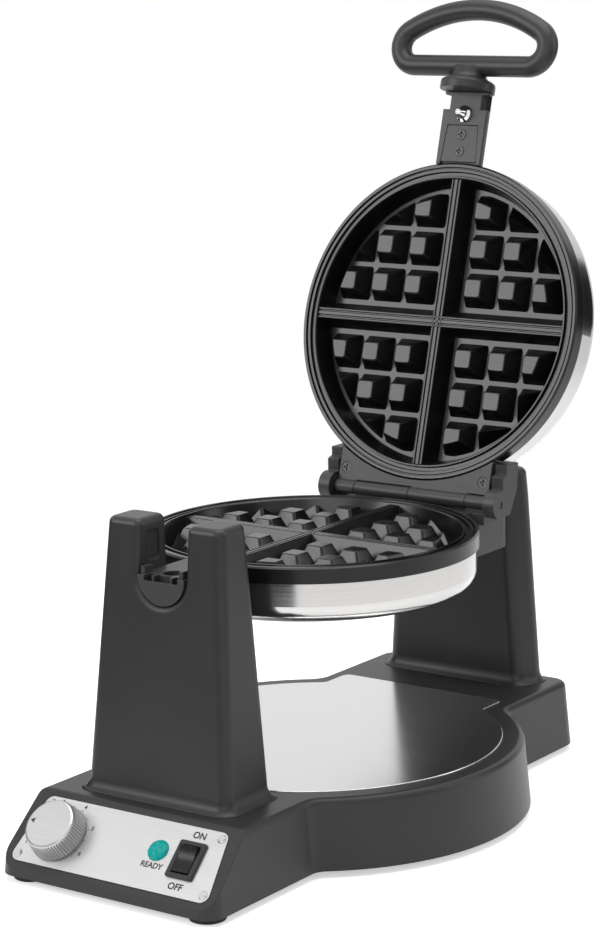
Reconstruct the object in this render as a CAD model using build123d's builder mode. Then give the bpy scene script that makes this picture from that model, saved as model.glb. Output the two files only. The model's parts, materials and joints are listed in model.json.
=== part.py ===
from build123d import *
import math
import os

os.makedirs("parts", exist_ok=True)

# Heights above the floor
foot_height = 4.4
skirt_bottom = 4.0
base_top = 45.0
split_height = 171.0
post_top = 201.0
cap_seam = 166.0
cap_top = 183.0

# Base plan
front_end = -202.5
front_half_width = 75.5
bulge_radius = 129.5
rear_end = 190.5
rear_half_width = 73.0
side_draft = 5.0
wall = 3.0
tray_radius = 113.0
tray_tab_half = 59.0

# Front face that carries the controls
panel_foot_y = -199.0
panel_foot_z = 12.5
panel_angle = 44.3
panel_length = 42.2
panel_half_top = 63.4
panel_half_bottom = 69.6

# Round irons
rim_radius = 100.0
rim_height = 9.5
band_radius = 98.3
cavity_depth = 15.0
rib_pitch = 24.57
first_peg = 22.2
iron_depth = 35.5

# Lid hinge and flip axis
hinge_y = 109.3
hinge_z = 172.3
lid_angle = 105.9
barrel_radius = 4.3
pin_radius = 2.2
journal_radius = 16.3
trunnion_radius = 7.0
lid_half_width = 55.5

# Places that screws and feet share
foot_places = [(-60, -186), (60, -186), (-108, 0), (108, 0), (-50, 172), (50, 172)]
post_screw_places = [(-28, -133), (28, -133), (-26, 167), (26, 167)]

slope = math.radians(panel_angle)
panel_plane = Plane(
    origin=(0, panel_foot_y, panel_foot_z),
    x_dir=(1, 0, 0),
    z_dir=(0, -math.sin(slope), math.cos(slope)),
)
iron_plane = Plane(origin=(0, 0, split_height))
flip_axis = Axis((0, 0, split_height), (0, 1, 0))
lid_open = (
    Location((0, hinge_y, hinge_z))
    * Location((0, 0, 0), (-lid_angle, 0, 0))
    * Location((0, -hinge_y, -hinge_z))
)


def facing_front(y):
    """Plane across the flip axis at y, drawn with x to the right and height above the axis."""
    return Plane(origin=(0, y, split_height), x_dir=(1, 0, 0), z_dir=(0, -1, 0))


def facing_side(x):
    """Plane across the hinge at x, drawn with y to the right and height above the floor."""
    return Plane(origin=(x, 0, 0), x_dir=(0, 1, 0), z_dir=(1, 0, 0))


def panel_at(x, up, out=0.0):
    """Plane on the control face at x and up the slope, raised by out."""
    spot = panel_plane.from_local_coords((x, up, out))
    return Plane(origin=spot, x_dir=panel_plane.x_dir, z_dir=panel_plane.z_dir)


def base_outline(inset):
    """Plan of the base: front box, round middle and rear box, drawn in by inset."""
    with BuildSketch() as outline:
        with Locations((0, front_end / 2)):
            Rectangle(2 * front_half_width, -front_end)
        Circle(bulge_radius)
        with Locations((0, rear_end / 2)):
            Rectangle(2 * rear_half_width, rear_end)
        corners = outline.vertices().group_by(Axis.Y)
        fillet([corner for row in corners[:-1] for corner in row], 10)
        fillet(outline.vertices().group_by(Axis.Y)[-1], 14)
        if inset > 0:
            offset(amount=-inset)
    return outline.sketch


def base_block(inset, low, high):
    """Drafted block on the base plan between two heights, cut by the control slope."""
    with BuildPart() as block:
        with BuildSketch(Plane.XY.offset(low)):
            add(base_outline(inset))
        extrude(amount=high - low, taper=side_draft)
        rise = math.tan(slope)
        drop = inset / math.cos(slope)
        with BuildSketch(facing_side(-120)):
            with BuildLine():
                Polyline(
                    (-240, panel_foot_z - drop - 41 * rise),
                    (-120, panel_foot_z - drop + 79 * rise),
                    (-240, panel_foot_z - drop + 79 * rise),
                    close=True,
                )
            make_face()
        extrude(amount=240, mode=Mode.SUBTRACT)
    return block.part


def post_section(height, front, front_half, back, back_half, corner):
    """Rounded four-sided section of a post at a height."""
    with BuildSketch(Plane.XY.offset(height)) as section:
        with BuildLine():
            Polyline(
                (-front_half, front),
                (front_half, front),
                (back_half, back),
                (-back_half, back),
                close=True,
            )
        make_face()
        fillet(section.vertices(), corner)
    return section.sketch


def flared_foot(front, front_half, back, back_half, corner, reach):
    """Concave skirt that spreads a post on the base by reach, with its neck at height 52."""
    with BuildPart() as foot:
        for height, part_of_reach in [(base_top, 1.0), (46.3, 0.5), (48.4, 0.2), (52.0, 0.0)]:
            spread = reach * part_of_reach
            add(
                post_section(
                    height,
                    front - spread,
                    front_half + spread,
                    back + spread,
                    back_half + spread,
                    corner + spread,
                )
            )
        loft()
    return foot.part


def grid_plate():
    """Waffle grid seen face up, with its face at height 0."""
    with BuildPart() as plate:
        with BuildSketch(Plane.XZ):
            with BuildLine():
                Polyline(
                    (0, -cavity_depth),
                    (86, -cavity_depth),
                    (90.5, -1.0),
                    (93.4, -1.0),
                    (93.9, -2.4),
                    (95.9, -2.4),
                    (96.4, 0),
                    (rim_radius - 1.2, 0),
                    (rim_radius, -1.2),
                    (rim_radius, -rim_height),
                    (96.6, -rim_height),
                    (95.0, -18.5),
                    (0, -18.5),
                    close=True,
                )
            make_face()
        revolve(axis=Axis.Z)
        # Cross of raised ribs that parts the waffle in four
        for turn in (0, 90):
            with BuildSketch(Plane.XY.offset(-cavity_depth)):
                Rectangle(9.5, 176, rotation=turn)
            with BuildSketch(Plane.XY.offset(-1.8)):
                Rectangle(6.0, 181, rotation=turn)
            loft()
        # Blunt pegs in rows, the outer ones met by the sloped wall
        for across, along in [(0, 0), (1, 0), (2, 0), (0, 1), (1, 1), (0, 2), (2, 1), (1, 2)]:
            for side_x in (-1, 1):
                for side_y in (-1, 1):
                    spot = (side_x * (first_peg + across * rib_pitch), side_y * (first_peg + along * rib_pitch))
                    with BuildSketch(Plane.XY.offset(-cavity_depth)):
                        with Locations(spot):
                            Rectangle(18.4, 18.4)
                        Circle(87, mode=Mode.INTERSECT)
                    with BuildSketch(Plane.XY.offset(-2.0)):
                        with Locations(spot):
                            Rectangle(12.6, 12.6)
                        Circle(87, mode=Mode.INTERSECT)
                    loft()
        # Fine grooves along the top of the cross
        for turn in (0, 90):
            with BuildSketch(Plane.XY.offset(-1.8)):
                Rectangle(1.4, 168, rotation=turn)
            extrude(amount=-0.7, mode=Mode.SUBTRACT)
    return plate.part


def iron_housing():
    """Steel pan behind a grid, seen with its open side up at height 0."""
    with BuildPart() as pan:
        with BuildSketch(Plane.XZ):
            with BuildLine():
                outer = Polyline((97.0, -rim_height - 0.1), (band_radius, -rim_height - 0.1), (band_radius, -23))
                curve = ThreePointArc(outer @ 1, (95.0, -30.8), (86.5, -33.8))
                crown = Spline(curve @ 1, (45, -35.1), (0, -iron_depth))
                Polyline(
                    crown @ 1,
                    (0, -iron_depth + 1.3),
                    (45, -33.8),
                    (86.0, -32.4),
                    (94.0, -29.8),
                    (97.0, -23),
                    (97.0, -rim_height - 0.1),
                )
            make_face()
        revolve(axis=Axis.Z)
    return pan.part


def heating_element():
    """Bent tube heater under a grid, with its two ends at the hinge side."""
    with BuildPart() as tube:
        with BuildLine(Plane.XY.offset(-22.4)) as route:
            ring = CenterArc((0, 0), 62, 105, 330)
        with BuildSketch(Plane(origin=route.line @ 0, z_dir=route.line % 0)):
            Circle(3.4)
        sweep(path=route.line)
        for end in (-1, 1):
            with BuildSketch(Plane(origin=(end * 62 * math.sin(math.radians(15)), 58, -22.4), z_dir=(0, 1, 0))):
                Circle(3.0)
            extrude(amount=22)
    return tube.part


# Base shell
with BuildPart() as base_shell:
    add(base_block(0, skirt_bottom, base_top))
    crown_edges = base_shell.faces().sort_by(Axis.Z)[-1].outer_wire().edges()
    fillet(crown_edges, 4)
    add(base_block(wall, skirt_bottom, base_top - wall), mode=Mode.SUBTRACT)
    # Seat for the tray plate
    with BuildSketch(Plane.XY.offset(base_top - 0.6)) as tray_seat:
        Circle(tray_radius + 0.3)
        with Locations((0, 70)):
            Rectangle(2 * tray_tab_half + 0.6, 100.6)
        with Locations((0, -150)):
            Rectangle(300, 89.4, mode=Mode.SUBTRACT)
        fillet(tray_seat.vertices(), 5)
    extrude(amount=2, mode=Mode.SUBTRACT)
    # Seat and holes for the control plate
    with BuildSketch(panel_at(0, 0, -0.6)) as panel_seat:
        with BuildLine():
            Polyline(
                (-panel_half_bottom - 0.2, -0.2),
                (panel_half_bottom + 0.2, -0.2),
                (panel_half_top + 0.2, panel_length + 0.2),
                (-panel_half_top - 0.2, panel_length + 0.2),
                close=True,
            )
        make_face()
        fillet(panel_seat.vertices(), 5.2)
    extrude(amount=6, mode=Mode.SUBTRACT)
    with BuildSketch(panel_at(0, 0, -8)):
        with Locations((-44, 20.3)):
            Circle(4.6)
        with Locations((24.2, 23.9)):
            Circle(5.6)
        with Locations((45, 21.6)):
            Rectangle(15, 19.6)
        with Locations((-65, 4.4), (65, 4.4), (-60.2, 38.2), (60.2, 38.2)):
            Circle(1.3)
    extrude(amount=10, mode=Mode.SUBTRACT)
    # Screw bosses over the feet
    with BuildSketch(Plane.XY.offset(6.6)):
        with Locations(foot_places[2:]):
            Circle(4.5)
    extrude(amount=base_top - wall - 6.6 + 0.5)
    with BuildSketch(Plane.XY.offset(6.6)):
        with Locations(foot_places[2:]):
            Circle(1.75)
    extrude(amount=12, mode=Mode.SUBTRACT)
    with BuildSketch(Plane.XY.offset(30)):
        with Locations(post_screw_places):
            Circle(2.2)
    extrude(amount=20, mode=Mode.SUBTRACT)
base_shell.part.label = "base_shell"
export_step(base_shell.part, "parts/base_shell.step")

# Bottom pan that closes the base
with BuildPart() as base_pan:
    with BuildSketch(Plane.XY.offset(foot_height)) as pan_plan:
        add(base_outline(3.6))
        with Locations(foot_places):
            Circle(1.9, mode=Mode.SUBTRACT)
        with Locations((0, 60), (0, -60)):
            with GridLocations(12, 0, 7, 1):
                SlotOverall(34, 3.5, rotation=90, mode=Mode.SUBTRACT)
    extrude(amount=2)
    rise = math.tan(slope)
    with BuildSketch(facing_side(-120)):
        with BuildLine():
            Polyline((-240, -46), (-192.2, 0.6), (-192.2, 20), (-240, 20), close=True)
        make_face()
    extrude(amount=240, mode=Mode.SUBTRACT)
base_pan.part.label = "base_pan"
export_step(base_pan.part, "parts/base_pan.step")

# Rubber feet
with BuildPart() as feet:
    with BuildSketch():
        with Locations(foot_places):
            Circle(8)
    extrude(amount=foot_height, taper=-6)
    chamfer(feet.edges().group_by(Axis.Z)[0], 0.6)
    with BuildSketch():
        with Locations(foot_places):
            Circle(4)
    extrude(amount=2.2, mode=Mode.SUBTRACT)
    with BuildSketch():
        with Locations(foot_places):
            Circle(1.9)
    extrude(amount=foot_height, mode=Mode.SUBTRACT)
feet.part.label = "feet"
export_step(feet.part, "parts/feet.step")

# Screws through the feet
with BuildPart() as foot_screws:
    with BuildSketch(Plane.XY.offset(0.7)):
        with Locations(foot_places):
            Circle(3.4)
    extrude(amount=1.5)
    with BuildSketch(Plane.XY.offset(2.2)):
        with Locations(foot_places):
            Circle(1.7)
    extrude(amount=9)
    with BuildSketch(Plane.XY.offset(0.7)):
        with Locations(foot_places):
            Rectangle(4, 0.9)
            Rectangle(0.9, 4)
    extrude(amount=0.9, mode=Mode.SUBTRACT)
foot_screws.part.label = "foot_screws"
export_step(foot_screws.part, "parts/foot_screws.step")

# Steel tray plate
with BuildPart() as drip_tray:
    with BuildSketch(Plane.XY.offset(base_top - 0.6)) as tray_plan:
        Circle(tray_radius)
        with Locations((0, 70)):
            Rectangle(2 * tray_tab_half, 100)
        with Locations((0, -150)):
            Rectangle(300, 90, mode=Mode.SUBTRACT)
        fillet(tray_plan.vertices(), 5)
    extrude(amount=1.2)
    fillet(drip_tray.faces().sort_by(Axis.Z)[-1].outer_wire().edges(), 0.5)
drip_tray.part.label = "drip_tray"
export_step(drip_tray.part, "parts/drip_tray.step")

# Front post with the open cradle
with BuildPart() as front_post:
    add(post_section(52.0, -153.2, 49.7, -111.3, 49.7, 6.5))
    add(post_section(post_top, -140.3, 40.2, -115.5, 40.2, 6))
    loft()
    with BuildSketch(facing_front(-100)):
        Circle(journal_radius + 0.1)
        with Locations((0, 25)):
            Rectangle(2 * journal_radius + 0.2, 50)
    extrude(amount=80, mode=Mode.SUBTRACT)
    # Soft edges round the horns and along the cradle
    horn_edges = [edge for face in front_post.faces().group_by(Axis.Z)[-1] for edge in face.edges()]
    cradle_edges = [
        edge
        for edge in front_post.edges()
        if abs(edge.center().X) < 17 and 154 < edge.center().Z < 199 and edge.bounding_box().size.Z > 8
    ]
    fillet(horn_edges + cradle_edges, 4)
    add(flared_foot(-153.2, 49.7, -111.3, 49.7, 6.5, 5.5))
    # Shallow guides in the inner faces of the horns
    for side in (-1, 1):
        with BuildSketch(Plane(origin=(side * journal_radius, -128.5, 185), x_dir=(0, 1, 0), z_dir=(side, 0, 0))):
            RectangleRounded(12, 17, 3)
        extrude(amount=1.2, mode=Mode.SUBTRACT)
    with BuildSketch(Plane.XY.offset(base_top)):
        with Locations(post_screw_places[:2]):
            Circle(1.75)
    extrude(amount=16, mode=Mode.SUBTRACT)
front_post.part.label = "front_post"
export_step(front_post.part, "parts/front_post.step")

# Rear post
with BuildPart() as rear_post:
    add(post_section(52.0, 155.8, 47.7, 179.2, 59.0, 8))
    add(post_section(cap_seam, 155.8, 39.4, 179.2, 51.0, 8))
    loft()
    add(flared_foot(155.8, 47.7, 179.2, 59.0, 8, 4.6))
    with BuildSketch(facing_front(150)):
        Circle(8.6)
    extrude(amount=-21, mode=Mode.SUBTRACT)
    with BuildSketch(facing_front(170.9)):
        Circle(10.8)
    extrude(amount=-7, mode=Mode.SUBTRACT)
    with BuildSketch(Plane.XY.offset(base_top)):
        with Locations(post_screw_places[2:]):
            Circle(1.75)
    extrude(amount=16, mode=Mode.SUBTRACT)
rear_post.part.label = "rear_post"
export_step(rear_post.part, "parts/rear_post.step")

# Cap that closes the rear bearing
with BuildPart() as rear_post_cap:
    add(post_section(cap_seam, 155.8, 39.4, 179.2, 51.0, 8))
    add(post_section(cap_top, 156.4, 38.4, 178.6, 49.8, 8))
    loft()
    fillet(rear_post_cap.faces().sort_by(Axis.Z)[-1].outer_wire().edges(), 4.5)
    with BuildSketch(facing_front(150)):
        Circle(8.6)
    extrude(amount=-21, mode=Mode.SUBTRACT)
    with BuildSketch(facing_front(170.9)):
        Circle(10.8)
    extrude(amount=-7, mode=Mode.SUBTRACT)
rear_post_cap.part.label = "rear_post_cap"
export_step(rear_post_cap.part, "parts/rear_post_cap.step")

# Bearing bush for the rear trunnion
with BuildPart() as rear_bush:
    with BuildSketch(facing_front(156.1)):
        Circle(8.6)
        Circle(trunnion_radius + 0.05, mode=Mode.SUBTRACT)
    extrude(amount=-14.7)
rear_bush.part.label = "rear_bush"
export_step(rear_bush.part, "parts/rear_bush.step")

# Screws that hold the posts from below
with BuildPart() as post_screws:
    with BuildSketch(Plane.XY.offset(base_top - wall - 2.2)):
        with Locations(post_screw_places):
            Circle(3.6)
    extrude(amount=2.2)
    with BuildSketch(Plane.XY.offset(base_top - wall)):
        with Locations(post_screw_places):
            Circle(1.75)
    extrude(amount=17)
post_screws.part.label = "post_screws"
export_step(post_screws.part, "parts/post_screws.step")

# Control plate
with BuildPart() as control_panel:
    with BuildSketch(panel_at(0, 0, -0.6)) as plate_plan:
        with BuildLine():
            Polyline(
                (-panel_half_bottom, 0),
                (panel_half_bottom, 0),
                (panel_half_top, panel_length),
                (-panel_half_top, panel_length),
                close=True,
            )
        make_face()
        fillet(plate_plan.vertices(), 5)
        with Locations((-44, 20.3)):
            Circle(4.6, mode=Mode.SUBTRACT)
        with Locations((24.2, 23.9)):
            Circle(5.6, mode=Mode.SUBTRACT)
        with Locations((45, 21.6)):
            Rectangle(15, 19.6, mode=Mode.SUBTRACT)
        with Locations((-65, 4.4), (65, 4.4), (-60.2, 38.2), (60.2, 38.2)):
            Circle(1.3, mode=Mode.SUBTRACT)
    extrude(amount=1.0)
control_panel.part.label = "control_panel"
export_step(control_panel.part, "parts/control_panel.step")

# Domed rivets of the control plate
with BuildPart() as panel_rivets:
    for place in [(-65, 4.4), (65, 4.4), (-60.2, 38.2), (60.2, 38.2)]:
        with BuildSketch(panel_at(place[0], place[1], -5)):
            Circle(1.3)
        extrude(amount=5.4)
        with BuildSketch(panel_at(place[0], place[1], 0.4)):
            Circle(2.7)
        extrude(amount=1.2, taper=35)
panel_rivets.part.label = "panel_rivets"
export_step(panel_rivets.part, "parts/panel_rivets.step")

# Ready lamp
with BuildPart() as ready_lens:
    with BuildSketch(panel_at(24.2, 23.9, 0.4)):
        Circle(6.6)
    extrude(amount=1.2)
    with BuildSketch(panel_at(24.2, 23.9, 1.6)):
        RegularPolygon(6.0, 12)
    extrude(amount=1.4, taper=38)
ready_lens.part.label = "ready_lens"
export_step(ready_lens.part, "parts/ready_lens.step")

with BuildPart() as lamp_holder:
    with BuildSketch(panel_at(24.2, 23.9, -13)):
        Circle(5.5)
    extrude(amount=13.4)
    with BuildSketch(panel_at(24.2, 23.9, -13)):
        with Locations((-2, 0), (2, 0)):
            Rectangle(0.8, 2.4)
    extrude(amount=-3)
lamp_holder.part.label = "lamp_holder"
export_step(lamp_holder.part, "parts/lamp_holder.step")

# Power switch
rocker_centre = panel_plane.from_local_coords((45, 21.6, 0.6))


def rocker_side(side, x):
    """Plane across the rocker's pivot at x from its middle, facing the middle."""
    return Plane(origin=rocker_centre + Vector(side * x, 0, 0), x_dir=(0, 1, 0), z_dir=(-side, 0, 0))


with BuildPart() as switch_housing:
    with BuildSketch(panel_at(45, 21.6, 0.4)) as bezel_plan:
        RectangleRounded(18.2, 22.8, 1.6)
    extrude(amount=1.8)
    chamfer(switch_housing.edges().filter_by(lambda e: panel_plane.to_local_coords(e.center()).Z > 2.1), 0.6)
    with BuildSketch(panel_at(45, 21.6, -12)):
        Rectangle(14.6, 19.2)
    extrude(amount=12.4)
    with BuildSketch(panel_at(45, 21.6, -6)):
        Rectangle(12.0, 17.4)
    extrude(amount=10, mode=Mode.SUBTRACT)
    with BuildSketch(panel_at(45, 21.6, -12)):
        with Locations((0, -5), (0, 0), (0, 5)):
            Rectangle(4.8, 0.8)
    extrude(amount=-4)
    # Pivot pins for the rocker
    for side in (-1, 1):
        with BuildSketch(rocker_side(side, 6.2)):
            Circle(1.0)
        extrude(amount=1.6)
switch_housing.part.label = "switch_housing"
export_step(switch_housing.part, "parts/switch_housing.step")

rocker_tilt = math.radians(panel_angle + 7)
rocker_plane = Plane(
    origin=rocker_centre,
    x_dir=(0, math.cos(rocker_tilt), math.sin(rocker_tilt)),
    z_dir=(1, 0, 0),
)
with BuildPart() as switch_rocker:
    with BuildSketch(rocker_plane.offset(-5.6)):
        with BuildLine():
            front = ThreePointArc((-7.6, 3.2), (0, 1.9), (7.6, 3.2))
            Polyline(front @ 1, (7.9, 1.0), (4.0, -3.6), (-4.0, -3.6), (-7.9, 1.0), front @ 0)
        make_face()
    extrude(amount=11.2)
    for side in (-1, 1):
        with BuildSketch(rocker_side(side, 5.6)):
            Circle(1.05)
        extrude(amount=1.2, mode=Mode.SUBTRACT)
switch_rocker.part.label = "switch_rocker"
export_step(switch_rocker.part, "parts/switch_rocker.step")

# Browning knob with its ribbed side
with BuildPart() as knob:
    with BuildSketch(panel_at(-44, 20.3, 1.0)):
        Circle(17.3)
        with PolarLocations(17.5, 48):
            Circle(0.75, mode=Mode.SUBTRACT)
    extrude(amount=10.5, taper=8)
    with BuildSketch(panel_at(-44, 20.3, 11.5)):
        Circle(15.4)
    extrude(amount=1.6)
    rim = knob.edges().filter_by(GeomType.CIRCLE).sort_by(lambda e: panel_plane.to_local_coords(e.center()).Z)[-1]
    chamfer(rim, 0.8)
    with BuildSketch(panel_at(-44, 20.3, 1.0)):
        Circle(13)
        Circle(5.5, mode=Mode.SUBTRACT)
    extrude(amount=8, mode=Mode.SUBTRACT)
    with BuildSketch(panel_at(-44, 20.3, 1.0)):
        Circle(3)
    extrude(amount=8.5, mode=Mode.SUBTRACT)
knob.part.label = "knob"
export_step(knob.part, "parts/knob.step")

with BuildPart() as thermostat_spindle:
    with BuildSketch(panel_at(-44, 20.3, -11)):
        Circle(3)
    extrude(amount=20.5)
thermostat_spindle.part.label = "thermostat_spindle"
export_step(thermostat_spindle.part, "parts/thermostat_spindle.step")

with BuildPart() as thermostat_body:
    with BuildSketch(panel_at(-44, 20.3, -13.5)):
        RectangleRounded(30, 22, 2)
    extrude(amount=9.5)
    with BuildSketch(panel_at(-44, 20.3, -4.0)):
        Circle(4.5)
    extrude(amount=4.2)
    with BuildSketch(panel_at(-44, 20.3, -11.4)):
        Circle(3.08)
    extrude(amount=12, mode=Mode.SUBTRACT)
thermostat_body.part.label = "thermostat_body"
export_step(thermostat_body.part, "parts/thermostat_body.step")

# Lower iron
with BuildPart() as lower_grid:
    add(grid_plate().moved(Location((0, 0, split_height))))
lower_grid.part.label = "lower_grid"
export_step(lower_grid.part, "parts/lower_grid.step")

with BuildPart() as lower_housing:
    add(iron_housing().moved(Location((0, 0, split_height))))
lower_housing.part.label = "lower_housing"
export_step(lower_housing.part, "parts/lower_housing.step")

with BuildPart() as lower_heater:
    add(heating_element().moved(Location((0, 0, split_height))))
lower_heater.part.label = "lower_heater"
export_step(lower_heater.part, "parts/lower_heater.step")

# Lower half of the front journal, with two tabs that centre the lid
with BuildPart() as front_journal:
    with BuildSketch(facing_front(-90)):
        Circle(journal_radius)
        with Locations((0, 20)):
            Rectangle(60, 40, mode=Mode.SUBTRACT)
    extrude(amount=53.4)
    with BuildSketch(iron_plane):
        Circle(rim_radius + 0.2)
    extrude(amount=-rim_height - 0.3, mode=Mode.SUBTRACT)
    with BuildSketch(iron_plane):
        Circle(band_radius)
    extrude(amount=-40, mode=Mode.SUBTRACT)
    for side in (-1, 1):
        with BuildSketch(Plane(origin=(side * 13.4, -138.2, split_height))):
            Rectangle(2.6, 7.4)
        extrude(amount=4.5)
    with BuildSketch(Plane(origin=(0, -131, split_height))):
        Circle(6.2)
    extrude(amount=-9.5, mode=Mode.SUBTRACT)
    # Low front wall and the pockets behind it
    with BuildSketch(Plane(origin=(0, -140, split_height))):
        with Locations((-9.4, 0), (9.4, 0)):
            Rectangle(4.6, 4.2)
        Rectangle(11, 4.2)
    extrude(amount=-7, mode=Mode.SUBTRACT)
    with BuildSketch(Plane(origin=(0, -142.9, split_height))):
        Rectangle(23.4, 1.6)
    extrude(amount=-3, mode=Mode.SUBTRACT)
front_journal.part.label = "front_journal"
export_step(front_journal.part, "parts/front_journal.step")

# Yoke with the rear trunnion, the hinge ears and two knuckles
with BuildPart() as yoke:
    with BuildSketch(Plane.XY.offset(138)):
        with Locations((0, 117.85)):
            Rectangle(96, 63.7)
    extrude(amount=29)
    fillet(yoke.edges().filter_by(Axis.Z).group_by(Axis.Y)[-1], 10)
    with BuildSketch(Plane.XY.offset(160)):
        with Locations((0, 111)):
            Rectangle(114, 17)
    extrude(amount=7)
    for side in (-1, 1):
        with BuildSketch(facing_side(side * 60.9 - 4.1)):
            with BuildLine():
                Polyline(
                    (106, 164.5),
                    (104, 177.5),
                    (106, 178.8),
                    (112, 181),
                    (112, 188.5),
                    (116.5, 190),
                    (116.5, 195.5),
                    (130, 195.5),
                    (128.5, 180),
                    (120, 164.5),
                    close=True,
                )
            make_face()
            with Locations((hinge_y, hinge_z)):
                Circle(8.8)
        extrude(amount=8.2)
    # Webs and barrels of the fixed knuckles
    for low, high in [(-40.9, -1.0), (41.2, 56.6)]:
        with BuildSketch(facing_side(low)):
            with Locations((hinge_y, hinge_z)):
                Circle(barrel_radius)
            with Locations((hinge_y + 1, 168)):
                Rectangle(6.6, 9)
        extrude(amount=high - low)
    # Boss and hollow spigot on the flip axis
    with BuildSketch(facing_front(145.2)):
        Circle(8.4)
    extrude(amount=-4.5)
    with BuildSketch(facing_front(149.7)):
        Circle(trunnion_radius)
    extrude(amount=-26.5)
    with BuildSketch(facing_front(140)):
        Circle(4.4)
    extrude(amount=-40, mode=Mode.SUBTRACT)
    with BuildSketch(facing_front(172.2)):
        Circle(trunnion_radius)
        Circle(trunnion_radius - 0.8, mode=Mode.SUBTRACT)
    extrude(amount=-1.6, mode=Mode.SUBTRACT)
    # Room for the lid's own knuckles and for the round pan
    for low, high in [(-56.2, -41.2), (-0.7, 41.0)]:
        with BuildSketch(facing_side(low)):
            with Locations((hinge_y, hinge_z)):
                Circle(barrel_radius + 0.6)
        extrude(amount=high - low, mode=Mode.SUBTRACT)
    with BuildSketch(Plane.XY.offset(130)):
        Circle(band_radius)
    extrude(amount=55, mode=Mode.SUBTRACT)
    with BuildSketch(Plane.XY.offset(split_height - rim_height - 0.3)):
        Circle(rim_radius + 0.2)
    extrude(amount=40, mode=Mode.SUBTRACT)
    with BuildSketch(facing_side(-70)):
        with Locations((hinge_y, hinge_z)):
            Circle(pin_radius)
    extrude(amount=140, mode=Mode.SUBTRACT)
yoke.part.label = "yoke"
export_step(yoke.part, "parts/yoke.step")

with BuildPart() as hinge_pin:
    with BuildSketch(facing_side(-64.5)):
        with Locations((hinge_y, hinge_z)):
            Circle(pin_radius)
    extrude(amount=129)
    chamfer(hinge_pin.edges().group_by(Axis.X)[0], 0.4)
    chamfer(hinge_pin.edges().group_by(Axis.X)[-1], 0.4)
hinge_pin.part.label = "hinge_pin"
export_step(hinge_pin.part, "parts/hinge_pin.step")

# Ring that keeps the trunnion in its bush
with BuildPart() as retaining_ring:
    with BuildSketch(facing_front(172.4)):
        Circle(9.6)
        Circle(trunnion_radius - 0.75, mode=Mode.SUBTRACT)
        with Locations((0, -8)):
            Rectangle(7, 8, mode=Mode.SUBTRACT)
    extrude(amount=-1.2)
retaining_ring.part.label = "retaining_ring"
export_step(retaining_ring.part, "parts/retaining_ring.step")

# Lid, drawn shut and then swung open
flipped = Location((0, 0, split_height + 0.4))
grid_face_down = mirror(grid_plate(), about=Plane.XY).moved(flipped)
pan_face_down = mirror(iron_housing(), about=Plane.XY).moved(flipped)
heater_face_down = mirror(heating_element(), about=Plane.XY).moved(flipped)

with BuildPart() as upper_grid:
    add(grid_face_down.moved(lid_open))
upper_grid.part.label = "upper_grid"
export_step(upper_grid.part, "parts/upper_grid.step")

with BuildPart() as upper_housing:
    add(pan_face_down.moved(lid_open))
upper_housing.part.label = "upper_housing"
export_step(upper_housing.part, "parts/upper_housing.step")

with BuildPart() as upper_heater:
    add(heater_face_down.moved(lid_open))
upper_heater.part.label = "upper_heater"
export_step(upper_heater.part, "parts/upper_heater.step")

face_height = split_height + 0.4
with BuildPart() as bracket_shut:
    with BuildSketch(Plane.XY.offset(face_height)) as bracket_plan:
        with Locations((0, 92)):
            Rectangle(2 * lid_half_width, 26)
    extrude(amount=13)
    with BuildSketch(Plane.XY.offset(face_height)):
        Circle(rim_radius + 0.2)
    extrude(amount=rim_height + 0.3, mode=Mode.SUBTRACT)
    with BuildSketch(Plane.XY.offset(face_height)):
        Circle(band_radius)
    extrude(amount=20, mode=Mode.SUBTRACT)
    for low, high in [(-lid_half_width, -41.4), (-0.6, 40.8)]:
        with BuildSketch(facing_side(low)):
            with Locations((hinge_y, hinge_z)):
                Circle(barrel_radius)
            with Locations((105.15, hinge_z + 1.85)):
                Rectangle(8.3, 3.7)
        extrude(amount=high - low)
    # Relief over the fixed knuckles
    for low, high in [(-41.4, -0.6), (40.8, lid_half_width + 0.2)]:
        with BuildSketch(facing_side(low)):
            with Locations((hinge_y, hinge_z)):
                Circle(barrel_radius + 0.6)
        extrude(amount=high - low, mode=Mode.SUBTRACT)
    with BuildSketch(facing_side(-70)):
        with Locations((hinge_y, hinge_z)):
            Circle(pin_radius + 0.05)
    extrude(amount=140, mode=Mode.SUBTRACT)
    with BuildSketch(Plane.XY.offset(face_height)):
        with Locations((-50.5, 97), (50.5, 97)):
            Circle(3.5)
    extrude(amount=1.9, mode=Mode.SUBTRACT)
    with BuildSketch(Plane.XY.offset(face_height)):
        with Locations((-50.5, 97), (50.5, 97)):
            Circle(1.75)
    extrude(amount=9, mode=Mode.SUBTRACT)

with BuildPart() as lid_bracket:
    add(bracket_shut.part.moved(lid_open))
lid_bracket.part.label = "lid_bracket"
export_step(lid_bracket.part, "parts/lid_bracket.step")


def cross_screws(places, low, head, shank):
    """Pan head screws driven upwards from the split face."""
    with BuildPart() as screws:
        with BuildSketch(Plane.XY.offset(low)):
            with Locations(places):
                Circle(head)
        extrude(amount=1.6)
        with BuildSketch(Plane.XY.offset(low + 1.6)):
            with Locations(places):
                Circle(1.75)
        extrude(amount=shank)
        with BuildSketch(Plane.XY.offset(low)):
            with Locations(places):
                Rectangle(4.2, 0.9)
                Rectangle(0.9, 4.2)
        extrude(amount=0.9, mode=Mode.SUBTRACT)
    return screws.part


with BuildPart() as bracket_screws:
    add(cross_screws([(-50.5, 97), (50.5, 97)], face_height + 0.3, 3.4, 6.5).moved(lid_open))
bracket_screws.part.label = "bracket_screws"
export_step(bracket_screws.part, "parts/bracket_screws.step")

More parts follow.
